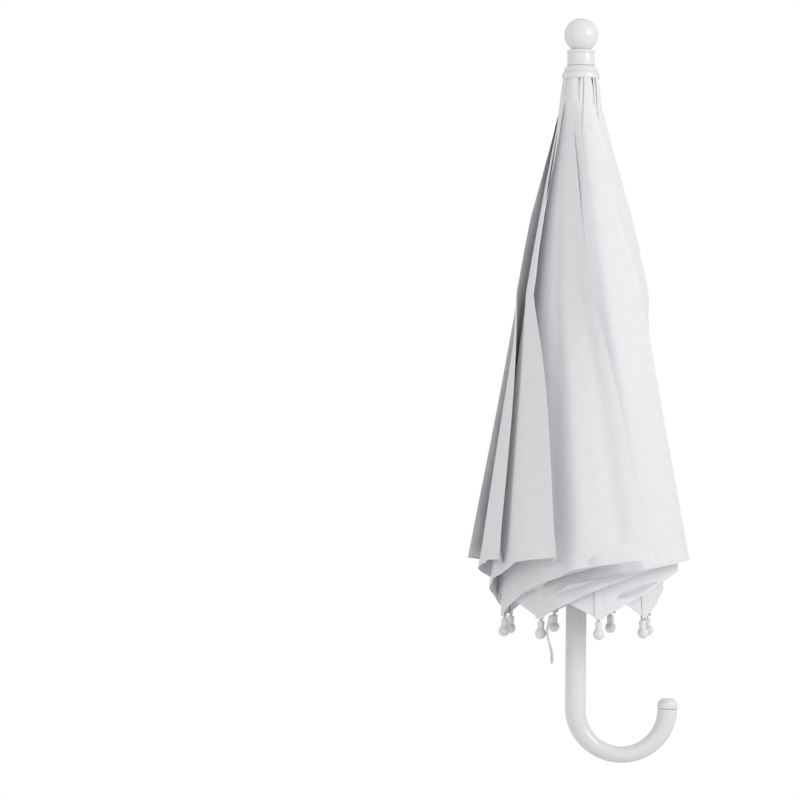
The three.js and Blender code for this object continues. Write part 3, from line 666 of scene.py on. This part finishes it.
WHITE = ((0.80, 0.80, 0.82), (0.86, 0.86, 0.88))
canopy_cloth = cloth_material("canopy_cloth", (0.80, 0.80, 0.825), (0.86, 0.86, 0.88), 2600.0)
strap_cloth = cloth_material("strap_cloth", (0.62, 0.61, 0.60), (0.72, 0.71, 0.70), 2200.0)
thread_white = moulded_material("thread_white", *WHITE, (0.5, 0.65), 0.0)
handle_white = moulded_material("handle_white", (0.78, 0.78, 0.80), (0.84, 0.84, 0.86), (0.26, 0.36), 0.35)
fitting_white = moulded_material("fitting_white", *WHITE, (0.26, 0.36), 0.35)
plated_wire = metal_material("plated_wire", (0.50, 0.50, 0.51), (0.62, 0.62, 0.63), (0.28, 0.42))
bright_tube = metal_material("bright_tube", (0.58, 0.58, 0.60), (0.70, 0.70, 0.72), (0.14, 0.26))


# ---------- the canopy's pieces ----------

def ruffled(side, lift):
    """Open points with a slight ruffle that grows towards the hem, and fades at the rib."""
    def at(along, share, off):
        wave = np.sin(share * BROAD_WAVE + side) + FINE_SHARE * np.sin(share * FINE_WAVE + 2 * side)
        grown_by = smooth(along / hem_along(share), *RUFFLE_GROWS) * smooth(share, *RUFFLE_FADES)
        return open_cloth(along, share, side, lift + off + HEM_RUFFLE * wave * grown_by)
    return at


def columns_across(rib, half):
    """Shares across a half panel, closer together at its crease."""
    even = np.linspace(0, 1, PANEL_COLUMNS)
    if half == "outer":
        return even
    crease = crease_share(rib, half)
    close = np.linspace(crease - CREASE_SPREAD, crease + CREASE_SPREAD, CREASE_COLUMNS)
    far = even[np.abs(even[:, None] - close[None]).min(1) > COLUMN_GAP]
    return np.sort(np.concatenate([far, close]))


def build_half_panel(rib, half):
    """One half of the panel beside a rib: its cloth, its hem and the hem's stitches."""
    side = 1 if half == "outer" else -1
    at = ruffled(side, CLOTH_LIFT)

    def from_top(down, share, off):
        return at(TOP_ALONG + (hem_along(share) - TOP_ALONG) * down, share, off)

    columns = columns_across(rib, half)
    rows = np.linspace(0, 1, PANEL_ROWS)
    cloth = thin_sheet(f"cloth_{half}_{rib}", rows, columns, from_top, CLOTH_THICK, canopy_cloth)
    fold_away(cloth, rib, half)
    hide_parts(f"pleat_{half}_{rib}")

    def from_hem(up, share, off):
        return at(hem_along(share) - HEM_WIDE * (1 - up), share, off)

    rows = np.linspace(0, 1, HEM_ROWS)
    hem = thin_sheet(f"hem_{half}_{rib}", rows, columns, from_hem, HEM_THICK, canopy_cloth)
    fold_away(hem, rib, half)

    share = np.linspace(0.01, 0.995, HEM_LINE_STEPS)
    line = at(hem_along(share) - HEM_WIDE * HEM_STITCHES_AT, share, HEM_THICK / 2)
    stitches = grown(f"hem_stitches_{half}_{rib}", line, STITCHES, Thread=thread_white)
    fold_away(stitches, rib, half)


def build_seam(rib):
    """The felled seam over a rib, with a line of stitches each side."""

    def at(down, across, off):
        along = TOP_ALONG + (HEM_AT_RIB - TOP_ALONG) * down
        width = SEAM_NARROWEST + (1 - SEAM_NARROWEST) * smooth(along, 0, SEAM_NARROW_ENDS)
        points = open_cloth(along, 0 * along, 1, CLOTH_LIFT + off)
        points[:, 1] = across * SEAM_WIDE / 2 * width
        points[:, 2] += SEAM_THICK * SEAM_CROWNED * (1 - across**2)
        return points

    rows, columns = np.linspace(0, 1, SEAM_ROWS), np.linspace(-1, 1, SEAM_COLUMNS)
    seam = thin_sheet(f"seam_{rib}", rows, columns, at, SEAM_THICK, canopy_cloth)
    swing_down(seam, rib)
    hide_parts(f"canopy_seam_{rib}")
    down = np.linspace(0.06, 0.985, SEAM_LINE_STEPS)
    for name, across in (("left", -SEAM_STITCHES_AT), ("right", SEAM_STITCHES_AT)):
        line = at(down, np.full_like(down, across), SEAM_THICK / 2)
        stitches = grown(f"seam_stitches_{name}_{rib}", line, STITCHES, Thread=thread_white)
        swing_down(stitches, rib)


def build_crown_patch(rib):
    """The doubled cloth under a rib's end of the canopy. Side by side the eight close the crown."""

    def at(down, across, off):
        along = TOP_ALONG + PATCH_LONG * down
        points = open_cloth(along, 0 * along, 1, CLOTH_LIFT - PATCH_BELOW + off)
        closed_radius = rib_line(along, LEAN_CLOSED, CLOTH_LIFT - PATCH_BELOW)[0]
        points[:, 1] = across * closed_radius * math.tan(RIB_STEP / 2)
        return points

    rows, columns = np.linspace(0, 1, PATCH_ROWS), np.linspace(-1, 1, PATCH_COLUMNS)
    patch = thin_sheet(f"crown_patch_{rib}", rows, columns, at, CLOTH_THICK, canopy_cloth)
    swing_down(patch, rib)


# ---------- hard pieces ----------

def build_finial():
    """The ball, its bead and its neck, turned in one."""
    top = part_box("finial_ball")[1].z
    ball, neck, bead = 0.0152, 0.0125, 0.0131
    edge, bead_edge, taper = 0.0006, 0.0014, 0.0003
    neck_long, bead_up, ball_from = 0.0100, 0.0125, 0.0148
    centre = top - ball
    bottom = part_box("canopy_cap")[1].z + 0.0003
    profile = [(0, bottom), *arc((neck - edge, bottom + edge), edge, -90, 0, 4)]
    profile += [(neck - taper, bottom + neck_long)]
    profile += arc((bead - bead_edge, bottom + bead_up), bead_edge, -70, 80, 8)
    start = math.degrees(math.asin((bottom + ball_from - centre) / ball))
    profile += arc((0, centre), ball, start, 90, 32)
    piece = lathe("finial", profile, fitting_white, 96)
    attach(piece, "shaft")
    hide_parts("finial_ball")


def build_cap():
    """The flared collar that holds the canopy down on the crown, with a groove near its widest part."""
    low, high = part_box("canopy_cap")
    wide = high.x
    lip, belly, shoulder = 0.0014, 0.0020, 0.0018
    hollow, hollow_edge = 0.002, 0.003
    inset, groove = 0.0022, 0.0021
    top, top_edge = 0.0126, 0.0130
    # underneath, hollowed inside the lip
    profile = [(0, low.z + hollow), (wide - hollow_edge, low.z + hollow), (wide - inset, low.z)]
    profile += arc((wide - lip, low.z + lip), lip, -90, 20, 6)
    # the belly, the groove over it and the shoulder
    profile += arc((wide - inset, low.z + 0.0040), belly, 0, 55, 5)
    profile += [(wide - groove, low.z + 0.0060), (wide - inset, low.z + 0.0064)]
    profile += arc((wide - 0.0034, low.z + 0.0078), shoulder, -20, 60, 5)
    profile += [(top_edge, high.z - 0.0006), (top, high.z), (0, high.z)]
    piece = lathe("crown_cap", profile, fitting_white, 96)
    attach(piece, "shaft")
    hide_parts("canopy_cap")


def build_handle():
    """The crook: a straight grip, then a half turn that is slimmest in its middle."""
    low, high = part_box("crook_handle")
    straight, thin, end_radius, top_edge = 0.00935, 0.0074, 0.0089, 0.0008
    bend = (high.x - end_radius) / 2
    start = low.z + bend + thin
    line, radii = [], []
    for z in np.linspace(high.z, start, 30)[:-1]:
        line.append((0, 0, z))
        radii.append(straight)
    for turn in np.linspace(0, math.pi, 80):
        line.append((bend * (1 - math.cos(turn)), 0, start - bend * math.sin(turn)))
        even = straight + (end_radius - straight) * turn / math.pi
        radii.append(even + (thin - even) * math.sin(turn) ** 1.5)
    # the bevelled top edge
    radii[0] = straight - top_edge
    line[1] = (0, 0, high.z - top_edge)
    piece = bar("crook", line, radii, handle_white, 48)
    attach(piece, "shaft")
    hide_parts("crook_handle")


def build_handle_end():
    """The cap on the crook's end: a thin rim, a short wall and a well rounded top."""
    low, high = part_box("handle_end_cap")
    middle, tall = (low.x + high.x) / 2, high.z - low.z
    wall, inside, rim, wall_top, dome = 0.0091, 0.0085, 0.0006, 0.0030, 0.0060
    profile = [(0, 0), (inside, 0), (wall, rim), (wall, wall_top)]
    profile += arc((wall - dome, tall - dome), dome, 0, 90, 12)
    profile += [(0, tall)]
    cap = lathe("crook_end", profile, handle_white, 64, Matrix.Translation((middle, 0, low.z)))
    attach(cap, "shaft")
    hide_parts("handle_end_cap")


def build_tip(rib):
    """The ball and cup on a rib's end."""
    ball, cup, cup_long, cup_edge, ball_in_cup = 0.005, 0.0032, 0.008, 0.0005, 0.002
    start = RIB_LENGTH - ball - cup_long
    profile = [(0, 0), *arc((cup - cup_edge, -cup_edge), cup_edge, 90, 0, 3), (cup - 0.0002, -cup_long / 2)]
    profile += arc((0, ball_in_cup - cup_long - ball), ball, 52, -90, 20)
    piece = lathe(f"tip_{rib}", profile, fitting_white, 32)
    radius, height = rib_line(np.array([start, start + 0.001]), LEAN_OPEN, 0.0)
    heading = Vector((radius[1] - radius[0], 0, height[1] - height[0])).normalized()
    turn = Vector((0, 0, -1)).rotation_difference(heading).to_matrix().to_4x4()
    piece.data.transform(Matrix.Translation((radius[0], 0, height[0])) @ turn)
    swing_down(piece, rib)
    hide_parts(f"tip_ball_{rib}")


def build_strap():
    """The tie strap: a doubled strip that hangs from the hem, sways and curls a little."""
    low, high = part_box("tie_strap")
    root = Vector(((low.x + high.x) / 2, (low.y + high.y) / 2, high.z))
    across = Vector((high.x - low.x, high.y - low.y, 0)).normalized()
    face = Vector((-across.y, across.x, 0))
    wide, thick, long = 0.012, 0.0011, high.z - low.z
    sway_most, sway_turn, curl_most = 0.0022, 5.2, 0.0006
    end_from, end_narrower = 0.9, 0.30
    rows, columns = 40, 8
    vertices = []
    for k in range(rows + 1):
        down = k / rows
        sway = sway_most * math.sin(down * sway_turn) * smooth(down, 0, 0.3)
        middle = root + face * float(sway) - Vector((0, 0, long * down))
        width = wide * (1 - end_narrower * max(0.0, (down - end_from) / (1 - end_from)) ** 2)
        for j in range(columns + 1):
            side = (j / columns - 0.5) * width
            curl = curl_most * math.cos(j / columns * math.pi * 2 + down * 3)
            vertices.append(middle + across * side + face * curl)
    faces = []
    for k in range(rows):
        for j in range(columns):
            here, below = k * (columns + 1) + j, (k + 1) * (columns + 1) + j
            faces.append((here, here + 1, below + 1, below))
    strap = new_object("tie_band", vertices, faces, strap_cloth)
    uv = strap.data.uv_layers.new(name="cloth")
    for loop in strap.data.loops:
        k, j = divmod(loop.vertex_index, columns + 1)
        uv.data[loop.index].uv = (j / columns * wide, k / rows * long)
    walls = strap.modifiers.new("walls", "SOLIDIFY")
    walls.thickness, walls.offset = thick, 0
    evaluated = strap.evaluated_get(bpy.context.evaluated_depsgraph_get())
    solid = bpy.data.meshes.new_from_object(evaluated)
    strap.modifiers.clear()
    strap.data = solid
    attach(strap, "tie_strap")
    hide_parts("tie_strap")


# ---------- finishes of the pieces that stay as the frame has them ----------

def finish_of(name):
    if name == "shaft_tube":
        return bright_tube
    if name.startswith(("rib_", "stretcher_", "crown_wire", "lower_catch", "upper_catch")):
        return plated_wire
    return fitting_white


def finish_frame_pieces():
    for name, node in frame["nodes"].items():
        if not node.hide_render:
            node.data.materials.clear()
            node.data.materials.append(finish_of(name))


# ---------- light and camera ----------

# how bright the white surroundings are as light; the camera sees them pure white
WORLD_LIGHT = 0.7
LIT_POINT = (0, 0, 0.28)
# place, size and power of each lamp
KEY = ((1.7, -1.2, 1.1), 1.0, 17)
FILL = ((-1.2, -2.2, 0.6), 1.6, 6)

# the long lens: how far off, how wide a frame it takes in at the shaft, and its place and roll
CAMERA_FAR = 4.0
FRAME_WIDE = 0.72
CAMERA_ASIDE = -0.1602
CAMERA_HEIGHT = 0.243
CAMERA_ROLL = math.radians(-0.5)


def area_light(name, place, size, power):
    light = bpy.data.lights.new(name, "AREA")
    light.size, light.energy = size, power
    holder = bpy.data.objects.new(name, light)
    holder.location = place
    holder.rotation_euler = (Vector(LIT_POINT) - Vector(place)).to_track_quat("-Z", "Y").to_euler()
    bpy.context.scene.collection.objects.link(holder)


def build_light():
    """White surroundings and two lamps, with the colours shown as they are."""
    world = bpy.data.worlds.new("studio")
    world.use_nodes = True
    nodes, link = world.node_tree.nodes, world.node_tree.links.new
    seen, strength = nodes.new("ShaderNodeLightPath"), nodes.new("ShaderNodeMapRange")
    strength.inputs["To Min"].default_value = WORLD_LIGHT
    strength.inputs["To Max"].default_value = 1.0
    nodes["Background"].inputs["Color"].default_value = (1, 1, 1, 1)
    link(seen.outputs["Is Camera Ray"], strength.inputs["Value"])
    link(strength.outputs["Result"], nodes["Background"].inputs["Strength"])
    bpy.context.scene.world = world
    area_light("key", *KEY)
    area_light("fill", *FILL)
    bpy.context.scene.view_settings.view_transform = "Standard"


def build_camera():
    """A long lens beside the umbrella, level, and rolled a little so that the shaft leans."""
    camera = bpy.data.cameras.new("camera")
    camera.sensor_width = 36
    camera.lens = camera.sensor_width * CAMERA_FAR / FRAME_WIDE
    camera.clip_end = 100
    holder = bpy.data.objects.new("camera", camera)
    holder.location = (CAMERA_ASIDE, -CAMERA_FAR, CAMERA_HEIGHT)
    holder.rotation_euler = (math.radians(90), CAMERA_ROLL, 0)
    bpy.context.scene.collection.objects.link(holder)
    bpy.context.scene.camera = holder


# ---------- everything in its order ----------

# worked out once, for the functions above
STITCHES = stitch_tree()
CREASES = {rib: inner_crease(rib) for rib in RIBS}
EDGES = {rib: pleat_edge(rib) for rib in RIBS}

for rib in RIBS:
    build_half_panel(rib, "outer")
    build_half_panel(rib, "inner")
    build_seam(rib)
    build_crown_patch(rib)
    build_tip(rib)
build_finial()
build_cap()
build_handle()
build_handle_end()
build_strap()
finish_frame_pieces()
build_light()
build_camera()
